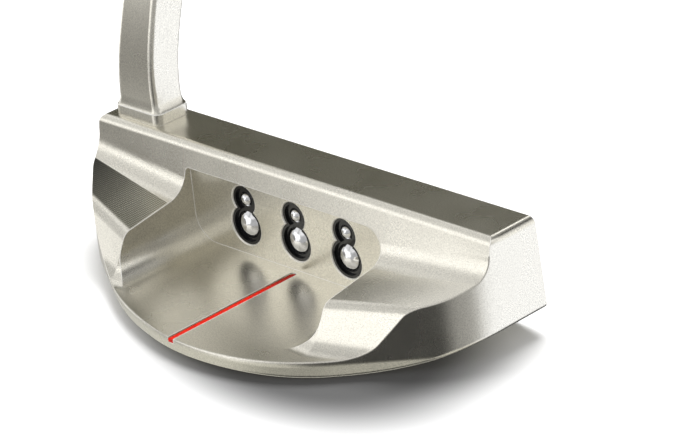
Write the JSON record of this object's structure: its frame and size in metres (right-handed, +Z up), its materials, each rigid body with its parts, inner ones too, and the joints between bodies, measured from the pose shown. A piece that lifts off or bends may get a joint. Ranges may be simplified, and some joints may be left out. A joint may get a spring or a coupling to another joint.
{
  "type": "mallet putter",
  "caption": "Golf putter with a milled mallet head, open rear pocket, domed plugs, red sight line, bent square neck, stepped shaft and rubber grip.",
  "frame": {"origin": "on the flat of the sole, below the sight line, 20 mm behind the top edge of the face", "axes": "+X from heel to toe, +Y towards the target out of the face, +Z up from the ground"},
  "size_m": [0.3901, 0.0682, 0.8143],
  "materials": {
    "satin_stainless": "satin, misted",
    "black_seat": "gloss",
    "polished_plug": "mirror polished",
    "red_enamel": "gloss enamel",
    "chromed_shaft": "polished",
    "epoxy": "cured adhesive",
    "tape": "matt",
    "grip_rubber": "matt, fine pebbled",
    "cap_rubber": "matt",
    "plain_band": "satin"
  },
  "bodies": {
    "root": {"head_body": "satin_stainless", "neck": "satin_stainless", "plug_seat_heel": "black_seat", "plug_seat_centre": "black_seat", "plug_seat_toe": "black_seat", "upper_plug_heel": "polished_plug", "upper_plug_centre": "polished_plug", "upper_plug_toe": "polished_plug", "lower_plug_heel": "polished_plug", "lower_plug_centre": "polished_plug", "lower_plug_toe": "polished_plug", "sight_line_fill": "red_enamel", "shaft": "chromed_shaft", "shaft_bond": "epoxy", "grip_tape": "tape", "grip": "grip_rubber", "grip_cap": "cap_rubber", "shaft_band": "plain_band"}
  },
  "joints": []
}
